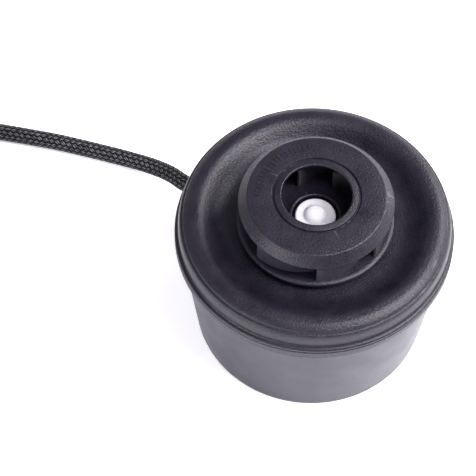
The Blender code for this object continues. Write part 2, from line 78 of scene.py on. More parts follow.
# Lead
GLAND_ANGLE, GLAND_Z = 137.0, 10.0
LEAD_START, NUT_FACE = 45.0, 56.0
LEAD_ROUTE = [  # from the gland's nut into the coil, along the rest surface
    (-48.4, 43.0, 8.4), (-54.3, 47.9, 6.5), (-62.0, 52.0, 4.7), (-71.6, 55.2, 3.5),
    (-80.9, 57.5, 3.05), (-96.1, 60.5, 3.0), (-107.4, 62.1, 3.0), (-118.8, 63.5, 3.0),
    (-129.0, 65.0, 3.1), (-140.0, 67.0, 3.4), (-152.0, 68.2, 3.9),
]
TAIL_ROUTE = [  # from the coil's top layer down to the connector's boot
    (-205.5, 22.0, 16.0), (-205.5, 15.0, 15.2), (-205.5, 8.0, 13.4), (-205.5, 1.5, 10.8),
    (-205.5, -4.0, 8.5), (-205.5, -8.0, 7.65), (-205.5, -9.7, 7.6),
]
COIL_CENTRE = (-165.0, 28.0)
COIL_LAPS = [  # each turn's radius and height
    (40.5, 4.2), (34.5, 4.2), (28.5, 4.2), (28.5, 10.2), (34.5, 10.2), (40.5, 10.2),
    (34.5, 16.2), (40.5, 16.2), (40.5, 16.2),
]
COIL_START, COIL_LAST = 90.0, 90.0  # degrees: where the coil begins, and its last part turn
COIL_STEP = 15.0  # degrees between its points
RISE, SHIFT = (235.0, 285.0), (270.0, 325.0)  # where in a turn it moves to the next one's place
COIL_R, COIL_MIDDLE = 34.5, 10.2
TIE_ANGLE, TIE_W, TIE_T = 250.0, 8.0, 0.8
TIE_ACROSS, TIE_TALL = 10.1, 9.7  # from the turns' middle to the middle of the tape
LEAD_D = 6.0
LEAD_SIDES = 36
CARRIERS = 12  # strands each way round the braid
BRAID_PITCH = 27.0
BRAID_RELIEF, BRAID_SUNK = 0.16, 0.7  # the share of the relief inside the lead's radius
PLUG_AT = (-205.5, -10.0, 7.6)
BOOT_RIBS, BOOT_RIB_PITCH = 5, 2.0
PINS, PIN_RING, FIRST_PIN = 4, 2.3, 45
GRIP_R, GRIP_BORE_R, GRIP_DEPTH, GRIP_TEETH = 7.4, 5.8, 0.35, 30

# Base and gland
LID_SCREW_RING, LID_SCREW_ANGLES = 31.0, (52, 172, 292)
INSERT_RING, INSERT_ANGLES = 20.0, (-8, 112, 232)
BORE_R, BORE_TOP, BORE_SIDES = 3.2, 2.9, 48
GLAND_HEXAGON_R = 7.0
NUT_R, NUT_BORE_R, NUT_DEPTH, NUT_TEETH = 6.4, 5.5, 0.45, 12

# Wheel
VANES, VANE_T = 7, 1.3
VANE_OUT_R, VANE_IN_R = 25.1, 13.5
VANE_START, VANE_SWEEP, VANE_CURVE = -86.0, 103.0, 0.42
VANE_LOW, VANE_HIGH = 59.25, 68.25
VANE_STEPS = 32
VANE_TIP, VANE_SWELL = 0.55, 9.0  # the share of its thickness at a tip, and how fast it grows
MARKS, MARK_RING, FIRST_MARK, LAST_MARK = 20, 19.45, 97.0, 184.0
MARK_L, MARK_WIDTHS, MARK_LOW, MARK_HIGH = 2.7, (1.1, 0.7), 72.3, 72.87

# Colours, linear
PLASTIC = (0.0065, 0.0054, 0.0098)
BASE_PLASTIC = (0.013, 0.0118, 0.0220)
# a light grey for the sharpest edges: partly edge wear, partly a painted highlight line along
# them
WORN_EDGE_AND_HIGHLIGHT = (0.16, 0.155, 0.175)
NYLON = (0.61, 0.60, 0.63)
# the grey is a painted sheen: the flecks that stand for the filaments' highlights
DARK_YARN, PAINTED_YARN_SHEEN = (0.0010, 0.0010, 0.0016), (0.210, 0.207, 0.220)
TAPE_BLACK = (0.010, 0.010, 0.012)
MASK_GREEN, MASK_DARK = (0.010, 0.115, 0.045), (0.008, 0.10, 0.04)
MASK_LIGHT, TRACK_GREEN = (0.012, 0.13, 0.05), (0.03, 0.24, 0.10)

# Surface detail
SOFT_SPOTS = 9.0  # mm across, of the slow change in tone and gloss
WEAR_AND_HIGHLIGHT_FROM, WEAR_AND_HIGHLIGHT_TO = 0.52, 0.60  # the pointiness where the edge wear and its painted highlight begin and are full
TURNING_GRAIN = 0.05  # mm
TAPE_LOOP = 0.55  # mm between the tape's loops
TRACK_SCALE = 90.0  # of the brick pattern whose mortar draws the tracks


# ------------------------------------------------------------------------------ meshes
def tidy(mesh):
    """Merges points that meet, turns the faces outwards and smooths the shading."""
    bm = bmesh.new()
    bm.from_mesh(mesh)
    bmesh.ops.remove_doubles(bm, verts=bm.verts, dist=MERGE)
    bmesh.ops.recalc_face_normals(bm, faces=bm.faces)
    bm.to_mesh(mesh)
    bm.free()
    mesh.shade_smooth()
    mesh.set_sharp_from_angle(angle=math.radians(SHARP_ANGLE))
    return mesh


def skin(name, rings, along=False, caps=True):
    """A mesh over a grid of points, rings[i][j], each ring joined to the next. along joins the
    last ring to the first; otherwise caps closes the ends."""
    count, sides = rings.shape[:2]
    index = np.arange(count * sides).reshape(count, sides)
    if along:
        index = np.concatenate([index, index[:1]])
    here, there = index[:-1], index[1:]
    quads = np.stack([here, np.roll(here, -1, 1), np.roll(there, -1, 1), there], axis=-1)
    faces = quads.reshape(-1, 4).tolist()
    if caps and not along:
        faces += [index[0].tolist(), index[-1].tolist()]
    mesh = bpy.data.meshes.new(name)
    mesh.from_pydata(rings.reshape(-1, 3).tolist(), [], faces)
    return tidy(mesh)


def rounded(profile, closed=True, steps=4):
    """The profile's corners turned into curves. A third number in an entry is how far its
    curve reaches from the corner."""
    points = [Vector(p[:2]) for p in profile]
    line = []
    for i, corner in enumerate(points):
        reach = profile[i][2] if len(profile[i]) > 2 else 0
        if not reach or (not closed and i in (0, len(points) - 1)):
            line.append(corner)
            continue
        before = points[i - 1] - corner
        after = points[(i + 1) % len(points)] - corner
        start = corner + before.normalized() * min(reach, before.length * 0.48)
        end = corner + after.normalized() * min(reach, after.length * 0.48)
        for k in range(steps + 1):
            t = k / steps
            line.append(start * (1 - t) ** 2 + corner * (2 * t * (1 - t)) + end * t**2)
    return line


def lathe(name, profile, sides=ROUND, closed=True, matrix=None):
    """A profile of (radius, height) turned about Z."""
    line = np.array([tuple(p) for p in rounded(profile, closed)]) * MM
    angles = np.arange(sides) * TAU / sides
    rings = np.empty((len(line), sides, 3))
    rings[..., 0] = line[:, :1] * np.cos(angles)
    rings[..., 1] = line[:, :1] * np.sin(angles)
    rings[..., 2] = line[:, 1:]
    mesh = skin(name, rings, along=closed, caps=False)
    if matrix is not None:
        mesh.transform(matrix)
    return mesh


def prism(name, outline, low, high, bevel=0.0, matrix=None):
    """An outline raised along Z, with its upper and lower edges bevelled."""
    bm = bmesh.new()
    bottom = bm.faces.new([bm.verts.new((x * MM, y * MM, low * MM)) for x, y in outline])
    raised = bmesh.ops.extrude_face_region(bm, geom=[bottom])["geom"]
    upper = [v for v in raised if isinstance(v, bmesh.types.BMVert)]
    bmesh.ops.translate(bm, verts=upper, vec=(0, 0, (high - low) * MM))
    if bevel:
        level = [e for e in bm.edges if abs(e.verts[0].co.z - e.verts[1].co.z) < 1e-9]
        bmesh.ops.bevel(bm, geom=level, offset=bevel * MM, segments=2, affect="EDGES",
                        clamp_overlap=True)
    mesh = bpy.data.meshes.new(name)
    bm.to_mesh(mesh)
    bm.free()
    if matrix is not None:
        mesh.transform(matrix)
    return tidy(mesh)


def joined(name, meshes):
    """One mesh from several."""
    bm = bmesh.new()
    for mesh in meshes:
        bm.from_mesh(mesh)
        bpy.data.meshes.remove(mesh)
    mesh = bpy.data.meshes.new(name)
    bm.to_mesh(mesh)
    bm.free()
    return tidy(mesh)


def wavy(radius, depth, waves, sides):
    """A round outline whose radius dips by depth that many times round."""
    line = []
    for i in range(sides):
        angle = TAU * i / sides
        r = radius - depth * (0.5 - 0.5 * math.cos(waves * angle))
        line.append((r * math.cos(angle), r * math.sin(angle)))
    return line


def circle(radius, sides):
    return wavy(radius, 0, 1, sides)


def block(size, corner):
    """A rectangle's outline with cut corners."""
    x, y = size[0] / 2, size[1] / 2
    x_cut, y_cut = x - corner, y - corner
    return [(x_cut, -y), (x, -y_cut), (x, y_cut), (x_cut, y),
            (-x_cut, y), (-x, y_cut), (-x, -y_cut), (-x_cut, -y)]


def cut(mesh, tools):
    """The mesh with closed tool meshes taken away from it."""
    item = bpy.data.objects.new("cutting", mesh)
    tool = bpy.data.objects.new("tool", joined("tool", tools))
    for each in (item, tool):
        bpy.context.scene.collection.objects.link(each)
    modifier = item.modifiers.new("cut", "BOOLEAN")
    modifier.operation = "DIFFERENCE"
    modifier.solver = "EXACT"
    modifier.object = tool
    graph = bpy.context.evaluated_depsgraph_get()
    result = bpy.data.meshes.new_from_object(item.evaluated_get(graph))
    for each in (item, tool):
        bpy.data.objects.remove(each)
    result.name = mesh.name
    return tidy(result)


def place(name, mesh, body, slot, *nodes):
    """A shown piece that rides on a body, takes a slot's finish and stands for CAD nodes."""
    item = bpy.data.objects.new(name, mesh)
    bpy.context.scene.collection.objects.link(item)
    mesh.materials.clear()
    mesh.materials.append(finishes[slot])
    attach(item, body)
    if nodes:
        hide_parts(*nodes)
    return item


def turned_by(degrees, axis="Z"):
    return Matrix.Rotation(math.radians(degrees), 4, axis)


def around(radius, degrees):
    """A place on a circle about Z, turned with its angle."""
    return turned_by(degrees) @ Matrix.Translation((radius * MM, 0, 0))


# --------------------------------------------------------------------------- materials
class Finish:
    """A material whose nodes are added one call at a time."""

    def __init__(self, name):
        self.material = bpy.data.materials.new(name)
        self.material.use_nodes = True
        self.tree = self.material.node_tree
        self.shader = self.tree.nodes["Principled BSDF"]

    def node(self, kind, inputs=None, **settings):
        made = self.tree.nodes.new("ShaderNode" + kind)
        for key, value in settings.items():
            setattr(made, key, value)
        for key, value in (inputs or {}).items():
            self.feed(made.inputs[key], value)
        return made

    def feed(self, socket, value):
        if isinstance(value, bpy.types.NodeSocket):
            self.tree.links.new(value, socket)
        else:
            socket.default_value = value

    def set(self, **values):
        """Puts a value or a link on each named socket of the shader."""
        for key, value in values.items():
            self.feed(self.shader.inputs[key.replace("_", " ")], value)

    def maths(self, operation, *values):
        made = self.node("Math", operation=operation)
        for socket, value in zip(made.inputs, values, strict=False):
            self.feed(socket, value)
        return made.outputs[0]

    def mixed(self, share, low, high):
        made = self.node("Mix", data_type="RGBA")
        for index, value in ((0, share), (6, low), (7, high)):
            self.feed(made.inputs[index], value)
        return made.outputs[2]

    def ranged(self, value, low, high, to_low, to_high):
        made = self.node("MapRange", {"Value": value, "From Min": low, "From Max": high,
                                      "To Min": to_low, "To Max": to_high})
        return made.outputs[0]

    def noise(self, size, detail):
        """Noise with spots about size millimetres across."""
        vector = self.node("TexCoord").outputs["Object"]
        made = self.node("TexNoise", {"Vector": vector, "Scale": 1 / (size * MM),
                                      "Detail": detail, "Roughness": 0.55})
        return made.outputs["Fac"]

    def bump(self, height, relief, strength=1.0, normal=None):
        """Relief in millimetres."""
        inputs = {"Height": height, "Distance": relief * MM, "Strength": strength}
        if normal is not None:
            inputs["Normal"] = normal
        return self.node("Bump", inputs).outputs[0]


def rgba(colour, factor=1.0):
    return (*(min(1.0, c * factor) for c in colour), 1.0)


def grained(name, colour, roughness, grain, relief, mottle, metallic=0.0, wear_and_highlight=0.0):
    """A moulded or machined surface: grain and relief in millimetres, and a soft variation in its
    tone and gloss. The last argument is the share of a light grey on its sharpest edges, which is
    partly edge wear and partly a painted highlight along them."""
    f = Finish(name)
    fine = f.noise(grain, 3.0)
    soft = f.noise(SOFT_SPOTS, 4.0)
    tone = f.mixed(f.ranged(soft, 0.3, 0.7, 0, 1), rgba(colour, 1 - mottle),
                   rgba(colour, 1 + mottle))
    speckled = f.mixed(f.ranged(fine, 0.35, 0.75, 0, 0.5), tone, rgba(colour, 1 + 2.5 * mottle))
    # sharp edges lightened by pointiness: edge wear, and a painted highlight along the edges
    if wear_and_highlight:
        point = f.node("NewGeometry").outputs["Pointiness"]
        worn_lit_edge = f.ranged(point, WEAR_AND_HIGHLIGHT_FROM, WEAR_AND_HIGHLIGHT_TO, 0, wear_and_highlight)
        speckled = f.mixed(worn_lit_edge, speckled, rgba(WORN_EDGE_AND_HIGHLIGHT))
    gloss = f.maths("ADD", f.ranged(fine, 0.2, 0.8, -0.06, 0.06),
                    f.ranged(soft, 0.2, 0.8, roughness - 0.05, roughness + 0.05))
    f.set(Base_Color=speckled, Roughness=gloss, Metallic=metallic,
          Normal=f.bump(fine, relief))
    return f


def machined(name, colour, roughness, spacing=0.12, relief=0.004):
    """Metal with fine rings about the object's axis, like those that a lathe leaves."""
    f = grained(name, colour, roughness, grain=TURNING_GRAIN, relief=0.002, mottle=0.06,
                metallic=1.0, wear_and_highlight=0.15)
    vector = f.node("TexCoord").outputs["Object"]
    rings = f.node("TexWave", {"Vector": vector, "Scale": TAU / (20 * spacing * MM),
                               "Distortion": 1.5, "Detail": 2.0, "Detail Scale": 1.5},
                   wave_type="RINGS", rings_direction="Z")
    normal = f.shader.inputs["Normal"].links[0].from_socket
    f.set(Normal=f.bump(rings.outputs["Fac"], relief, 0.6, normal))
    return f


def textured_black(name, wear_and_highlight):
    """Spark-eroded mould texture: rounded grains about two thirds of a millimetre across."""
    f = grained(name, PLASTIC, 0.39, grain=0.66, relief=0.18, mottle=0.60, wear_and_highlight=wear_and_highlight)
    f.set(Specular_IOR_Level=0.30)
    return f


def satin_black():
    """A smooth mould face with a little unevenness in its tone and gloss."""
    f = grained("satin_black", BASE_PLASTIC, 0.38, grain=0.22, relief=0.004, mottle=0.07,
                wear_and_highlight=0.2)
    f.set(Specular_IOR_Level=0.18)
    return f


def white_nylon():
    """Moulded nylon, which lets a little light in."""
    f = grained("white_nylon", NYLON, 0.48, grain=0.25, relief=0.006, mottle=0.05)
    f.set(Subsurface_Weight=0.6, Subsurface_Radius=(1.0, 0.95, 0.95),
          Subsurface_Scale=0.0025, Specular_IOR_Level=0.3)
    return f


def sleeve():
    """A two-over-two braid of black filament, whose sheen is painted as grey flecks along the
    middle of each strand where it lies on top. The braid attribute holds the cosine and sine
    round the sleeve and the pitches along it."""
    f = Finish("sleeve")
    braid = f.node("Attribute", attribute_name="braid").outputs["Vector"]
    split = f.node("SeparateXYZ", {"Vector": braid}).outputs
    angle = f.maths("DIVIDE", f.maths("ARCTAN2", split["Y"], split["X"]), TAU / CARRIERS)
    along = f.maths("MULTIPLY", split["Z"], float(CARRIERS))
    one = f.maths("ADD", angle, along)
    other = f.maths("SUBTRACT", angle, along)
    cell = f.maths("ADD", f.maths("FLOOR", one), f.maths("FLOOR", other))
    over = f.maths("LESS_THAN", f.maths("FLOORED_MODULO", cell, 4.0), 2.0)
    under = f.maths("SUBTRACT", 1.0, over)
    across = f.maths("ADD", f.maths("MULTIPLY", one, over), f.maths("MULTIPLY", other, under))
    run = f.maths("ADD", f.maths("MULTIPLY", other, over), f.maths("MULTIPLY", one, under))
    height = f.maths("SINE", f.maths("MULTIPLY", f.maths("FRACT", across), math.pi))
    second = f.maths("FLOORED_MODULO", cell, 2.0)
    float_run = f.maths("MULTIPLY", f.maths("ADD", second, f.maths("FRACT", run)), math.pi / 2)
    crown = f.maths("SINE", float_run)
    ply = f.maths("FRACT", f.maths("MULTIPLY", across, 2.0))
    ply = f.maths("SINE", f.maths("MULTIPLY", ply, math.pi))
    threads = f.node("CombineXYZ", {"X": f.maths("MULTIPLY", across, 5.0),
                                    "Y": f.maths("MULTIPLY", run, 0.55), "Z": over}).outputs[0]
    streak = f.node("TexNoise", {"Vector": threads, "Scale": 1.0, "Detail": 2.0,
                                 "Roughness": 0.6}).outputs["Fac"]
    # painted highlight: grey flecks, strongest mid-float where a strand lies on top and along the
    # middle of each ply
    shine = f.maths("MULTIPLY", f.maths("POWER", ply, 2.0), f.maths("POWER", crown, 2.2))
    painted_sheen = f.maths("MULTIPLY", shine, f.ranged(streak, 0.34, 0.62, 0.1, 1))
    colour = f.mixed(painted_sheen, rgba(DARK_YARN), rgba(PAINTED_YARN_SHEEN))
    strand = f.maths("ADD", f.maths("MULTIPLY", height, crown), f.maths("MULTIPLY", ply, 0.8))
    f.set(Base_Color=colour, Roughness=f.ranged(streak, 0.3, 0.7, 0.62, 0.42),
          Normal=f.bump(strand, BRAID_RELIEF, 0.9), Specular_IOR_Level=0.04)
    return f


def hook_tape():
    """Loop tape: small raised loops under a short fuzz."""
    f = grained("tie_black", TAPE_BLACK, 0.85, grain=0.30, relief=0.10, mottle=0.60)
    vector = f.node("TexCoord").outputs["Object"]
    loops = f.node("TexVoronoi", {"Vector": vector, "Scale": 1 / (TAPE_LOOP * MM)})
    normal = f.shader.inputs["Normal"].links[0].from_socket
    f.set(Normal=f.bump(loops.outputs["Distance"], 0.35, 0.8, normal),
          Sheen_Weight=0.06, Sheen_Roughness=0.5, Specular_IOR_Level=0.2)
    return f


def felt():
    f = grained("felt", (0.30, 0.30, 0.32), 0.95, grain=0.25, relief=0.12, mottle=0.3)
    f.set(Sheen_Weight=0.4)
    return f


def board_green():
    """Solder mask over copper tracks, which show as lighter lines."""
    f = grained("board_green", MASK_GREEN, 0.32, grain=0.2, relief=0.003, mottle=0.1)
    vector = f.node("TexCoord").outputs["Object"]
    tracks = f.node("TexBrick", {"Vector": vector, "Scale": TRACK_SCALE, "Mortar Size": 0.06,
                                 "Color1": rgba(MASK_DARK), "Color2": rgba(MASK_LIGHT),
                                 "Mortar": rgba(TRACK_GREEN)})
    f.set(Base_Color=tracks.outputs["Color"])
    return f


PLAIN_FINISHES = {  # colour, roughness, grain, relief, mottle, metallic, and the share of edge wear with painted highlight
    "rubber": ((0.018, 0.018, 0.020), 0.62, 0.25, 0.010, 0.2, 0.0, 0.3),
    "bright_steel": ((0.42, 0.43, 0.46), 0.30, 0.2, 0.006, 0.1, 1.0),
    "dark_steel": ((0.10, 0.10, 0.11), 0.42, 0.2, 0.006, 0.15, 1.0),
    "chip_black": ((0.020, 0.020, 0.022), 0.50, 0.12, 0.008, 0.2),
    "header_white": ((0.72, 0.70, 0.62), 0.42, 0.3, 0.004, 0.05),
    "magnet_grey": ((0.10, 0.10, 0.105), 0.5, 0.1, 0.01, 0.3, 0.6),
    "wire_red": ((0.42, 0.02, 0.015), 0.42, 0.4, 0.01, 0.1),
    "wire_white": ((0.70, 0.70, 0.67), 0.42, 0.4, 0.01, 0.05),
    "wire_black": ((0.02, 0.02, 0.02), 0.42, 0.4, 0.01, 0.2),
}


def make_finishes():
    """One finish for each of the record's material slots, and one for the plate's marks."""
    made = {
        # the light edges on the lid and wheel are partly a painted highlight line along their
        # ridges
        "textured_black": textured_black("textured_black", wear_and_highlight=0.20),
        "moulded_marks": textured_black("moulded_marks", wear_and_highlight=0.0),
        "satin_black": satin_black(),
        "white_nylon": white_nylon(),
        "sleeve": sleeve(),
        "tie_black": hook_tape(),
        "felt": felt(),
        "board_green": board_green(),
        "bearing_steel": machined("bearing_steel", (0.58, 0.58, 0.60), 0.20, 0.08, 0.002),
        "aluminium": machined("aluminium", (0.40, 0.40, 0.42), 0.34),
        "brass": machined("brass", (0.68, 0.49, 0.20), 0.28),
    }
    for slot, look in PLAIN_FINISHES.items():
        made[slot] = grained(slot, *look)
    return {slot: f.material for slot, f in made.items()}


# ------------------------------------------------------------------- camera and lighting
def make_camera():
    data = bpy.data.cameras.new("camera")
    data.sensor_width = CAMERA_SENSOR
    data.lens = CAMERA_LENS
    data.clip_start, data.clip_end = CAMERA_RANGE
    camera = bpy.data.objects.new("camera", data)
    bpy.context.scene.collection.objects.link(camera)
    look = (Vector(CAMERA_TARGET) - Vector(CAMERA_AT)).to_track_quat("-Z", "Y")
    camera.location = CAMERA_AT
    camera.rotation_mode = "QUATERNION"
    camera.rotation_quaternion = look @ Quaternion((0, 0, 1), math.radians(CAMERA_ROLL))
    bpy.context.scene.camera = camera


def make_softbox(name, direction, distance, size, power):
    """An area light that faces the object."""
    data = bpy.data.lights.new(name, "AREA")
    data.shape = "RECTANGLE"
    data.size, data.size_y = size
    data.energy = power
    data.color = LIGHT_TINT
    light = bpy.data.objects.new(name, data)
    bpy.context.scene.collection.objects.link(light)
    towards = Vector(direction).normalized()
    light.location = towards * distance
    light.rotation_mode = "QUATERNION"
    light.rotation_quaternion = (-towards).to_track_quat("-Z", "Y")


def make_studio():
    """A white floor with a faint glow in an even pale surround, with soft lights from above and
    from the right, and low fills from the left."""
    world = bpy.data.worlds.new("surround")
    world.use_nodes = True
    background = world.node_tree.nodes["Background"]
    background.inputs["Color"].default_value = rgba(SURROUND)
    background.inputs["Strength"].default_value = SURROUND_STRENGTH
    bpy.context.scene.world = world
    bpy.context.scene.view_settings.view_transform = "Standard"

    f = Finish("floor_white")
    tone = f.noise(60.0, 3.0)
    f.set(Base_Color=f.mixed(tone, *(rgba(c) for c in FLOOR_TONES)), Roughness=0.9,
          Emission_Color=rgba(FLOOR_GLOW), Emission_Strength=FLOOR_GLOW_STRENGTH)
    bm = bmesh.new()
    bmesh.ops.create_grid(bm, x_segments=1, y_segments=1, size=FLOOR_HALF)
    mesh = bpy.data.meshes.new("floor")
    bm.to_mesh(mesh)
    bm.free()
    mesh.materials.append(f.material)
    floor = bpy.data.objects.new("floor", mesh)
    bpy.context.scene.collection.objects.link(floor)

    for softbox in SOFTBOXES:
        make_softbox(*softbox)


# -------------------------------------------------------------------------------- lead
def smooth_route(points, spacing):
    """Points about spacing apart on a Catmull-Rom curve through the given ones."""
    p = [Vector(q) for q in points]
    p = [2 * p[0] - p[1], *p, 2 * p[-1] - p[-2]]
    route = [p[1]]
    for a, b, c, d in zip(p, p[1:], p[2:], p[3:], strict=False):
        steps = max(1, round((c - b).length / spacing))
        for i in range(1, steps + 1):
            t = i / steps
            route.append(
                0.5 * (2 * b + (c - a) * t + (2 * a - 5 * b + 4 * c - d) * t**2
                       + (3 * b - a - 3 * c + d) * t**3)
            )
    return route


def gland_axis():
    """Local Z runs outwards along the gland's axis, from the object's own axis."""
    lift = Matrix.Translation((0, 0, GLAND_Z * MM))
    return lift @ turned_by(GLAND_ANGLE) @ turned_by(90, "Y")


def ease(value, span):
    """0 before the span, 1 after it, and a smooth change between."""
    t = min(1.0, max(0.0, (value - span[0]) / (span[1] - span[0])))
    return t * t * (3 - 2 * t)


def coil_route():
    """The coil's turns, beside and on each other, a diameter apart."""
    route = []
    total = 360.0 * (len(COIL_LAPS) - 1) + COIL_LAST
    for i in range(round(total / COIL_STEP) + 1):
        lap, within = divmod(i * COIL_STEP, 360.0)
        here = COIL_LAPS[int(lap)]
        there = COIL_LAPS[min(int(lap) + 1, len(COIL_LAPS) - 1)]
        radius = here[0] + (there[0] - here[0]) * ease(within, SHIFT)
        height = here[1] + (there[1] - here[1]) * ease(within, RISE)
        angle = math.radians(COIL_START + within)
        route.append((COIL_CENTRE[0] + radius * math.cos(angle),
                      COIL_CENTRE[1] + radius * math.sin(angle), height))
    return route


def lead_line():
    """The lead's centre line in millimetres, from inside the gland to inside the boot."""
    axis = gland_axis()
    exit_points = [axis @ Vector((0, 0, u * MM)) / MM for u in (LEAD_START, 50.0, NUT_FACE)]
    points = [*exit_points, *LEAD_ROUTE, *coil_route(), *TAIL_ROUTE]
    return np.array([tuple(p) for p in smooth_route(points, 1.0)])


def frames(line):
    """Two directions across the line at each point, carried along it without twist."""
    along = np.gradient(line, axis=0)
    along /= np.linalg.norm(along, axis=1)[:, None]
    side = np.cross(along[0], UP)
    sides = []
    for direction in along:
        side = side - direction * (side @ direction)
        side = side / np.linalg.norm(side)
        sides.append(side)
    sides = np.array(sides)
    return sides, np.cross(along, sides)


def make_lead():
    """The sleeve's skin, with each strand raised where it lies on top."""
    line = lead_line()
    side, over = frames(line)
    run = np.concatenate([[0], np.cumsum(np.linalg.norm(np.diff(line, axis=0), axis=1))])
    turn = np.arange(LEAD_SIDES) / LEAD_SIDES
    pitches = run[:, None] / BRAID_PITCH
    one = CARRIERS * (turn + pitches)
    other = CARRIERS * (turn - pitches)
    on_top = np.mod(np.floor(one) + np.floor(other), 4) < 2
    height = np.sin(np.pi * np.mod(np.where(on_top, one, other), 1))
    radius = (LEAD_D / 2 + BRAID_RELIEF * (height - BRAID_SUNK))[..., None]
    cosine, sine = np.cos(TAU * turn)[None, :, None], np.sin(TAU * turn)[None, :, None]
    rings = line[:, None] + radius * (cosine * side[:, None] + sine * over[:, None])
    mesh = skin("sleeved_lead", rings * MM)
    braid = np.empty((*rings.shape[:2], 3), np.float32)
    braid[..., 0] = cosine[..., 0]
    braid[..., 1] = sine[..., 0]
    braid[..., 2] = pitches
    attribute = mesh.attributes.new("braid", "FLOAT_VECTOR", "POINT")
    attribute.data.foreach_set("vector", braid.ravel())
    lead = place("sleeved_lead", mesh, "housing", "sleeve",
                 "cable_lead", "cable_coil", "cable_tail")
    return lead, line


def make_tie():
    """A band of hook-and-loop tape round the coil's turns, with its end lapped over."""
    at = (Matrix.Translation((COIL_CENTRE[0] * MM, COIL_CENTRE[1] * MM, 0))
          @ turned_by(TIE_ANGLE))
    corner, lap = 3.2, 0.75
    path = [(TIE_ACROSS, 0), (TIE_ACROSS, TIE_TALL, corner), (-TIE_ACROSS, TIE_TALL, corner),
            (-TIE_ACROSS, -TIE_TALL, corner), (TIE_ACROSS, -TIE_TALL, corner)]
    centre = np.array([tuple(p) for p in rounded(path, steps=8)])
    outwards = np.roll(centre, -1, 0) - np.roll(centre, 1, 0)
    outwards = np.stack([outwards[:, 1], -outwards[:, 0]], axis=1)
    outwards /= np.linalg.norm(outwards, axis=1)[:, None]
    outwards *= np.sign((outwards * centre).sum(1))[:, None]
    section = block((TIE_T, TIE_W), 0.25)
    rings = np.empty((len(centre), len(section), 3))
    for j, (lift, slide) in enumerate(section):
        flat = centre + outwards * lift
        rings[:, j, 0] = COIL_R + flat[:, 0]
        rings[:, j, 1] = slide
        rings[:, j, 2] = COIL_MIDDLE + flat[:, 1]
    band = skin("band", rings * MM, along=True)
    end_at = Matrix.Translation(((COIL_R + TIE_ACROSS + lap) * MM, 0, COIL_MIDDLE * MM))
    end = prism("end", block((0.9, TIE_W), 0.2), -5.0, 6.0, bevel=0.2, matrix=end_at)
    mesh = joined("coil_band", [band, end])
    mesh.transform(at)
    return place("coil_band", mesh, "housing", "tie_black", "coil_tie")


def plug_axis():
    """Local Z points back up the lead."""
    return Matrix.Translation(Vector(PLUG_AT) * MM) @ turned_by(-90, "X")


def make_plug():
    """The connector's ribbed boot, turned shell, face with its pins, and coupling ring."""
    axis = plug_axis()
    boot = [(0, 0), (3.3, 0, 0.3), (4.1, -0.8, 0.4)]
    for i in range(BOOT_RIBS):
        top = -2.4 - BOOT_RIB_PITCH * i
        r = 4.2 + 0.2 * i
        boot += [(r + 0.1, top, 0.25), (r - 0.5, top - 0.35, 0.2), (r - 0.5, top - 0.85, 0.2),
                 (r + 0.15, top - 1.2, 0.25)]
    boot += [(5.3, -12.6, 0.3), (5.3, -14.0, 0.2), (0, -14.0)]
    pieces = [place("plug_boot_ribbed", lathe("plug_boot_ribbed", boot, FINE, False, axis),
                    "housing", "rubber", "plug_boot")]
    shell = [(0, -14.3), (5.8, -14.3, 0.3), (6.2, -14.8, 0.3), (6.2, -16.2, 0.15),
             (5.9, -16.5, 0.1), (5.9, -17.3, 0.1), (6.2, -17.6, 0.15), (6.2, -20.0, 0.2),
             (5.5, -20.1, 0.1), (5.5, -32.0, 0.3), (4.7, -32.0, 0.2), (4.7, -24.0), (0, -24.0)]
    pieces.append(place("plug_shell_turned", lathe("plug_shell_turned", shell, FINE, False, axis),
                        "housing", "aluminium", "plug_shell"))
    insert = [(0, -28.0), (4.2, -28.0, 0.2), (4.4, -27.7, 0.2), (4.4, -24.2), (0, -24.2)]
    face = [lathe("face", insert, FINE, False, axis)]
    pin = [(0, -31.6), (0.3, -31.6, 0.15), (0.5, -31.2, 0.15), (0.5, -27.5), (0, -27.5)]
    face += [lathe("pin", pin, 16, False, axis @ around(PIN_RING, FIRST_PIN + 360 / PINS * i))
             for i in range(PINS)]
    pieces.append(place("plug_face", joined("plug_face", face), "housing", "chip_black",
                        "plug_insert"))
    knurled = prism("grip", wavy(GRIP_R, GRIP_DEPTH, GRIP_TEETH, 240), -31.6, -21.6, 0.3, axis)
    collars = lathe("collars", [(5.8, -20.3), (7.0, -20.3, 0.3), (7.2, -20.8, 0.2),
                                (7.2, -32.4, 0.3), (6.9, -33.0, 0.3), (5.8, -33.0)],
                    FINE, True, axis)
    bore = prism("bore", circle(GRIP_BORE_R, FINE), -34.0, -19.0, 0, axis)
    ring = joined("plug_grip_ring", [cut(knurled, [bore]), collars])
    pieces.append(place("plug_grip_ring", ring, "plug_collar", "aluminium", "plug_ring"))
    return pieces


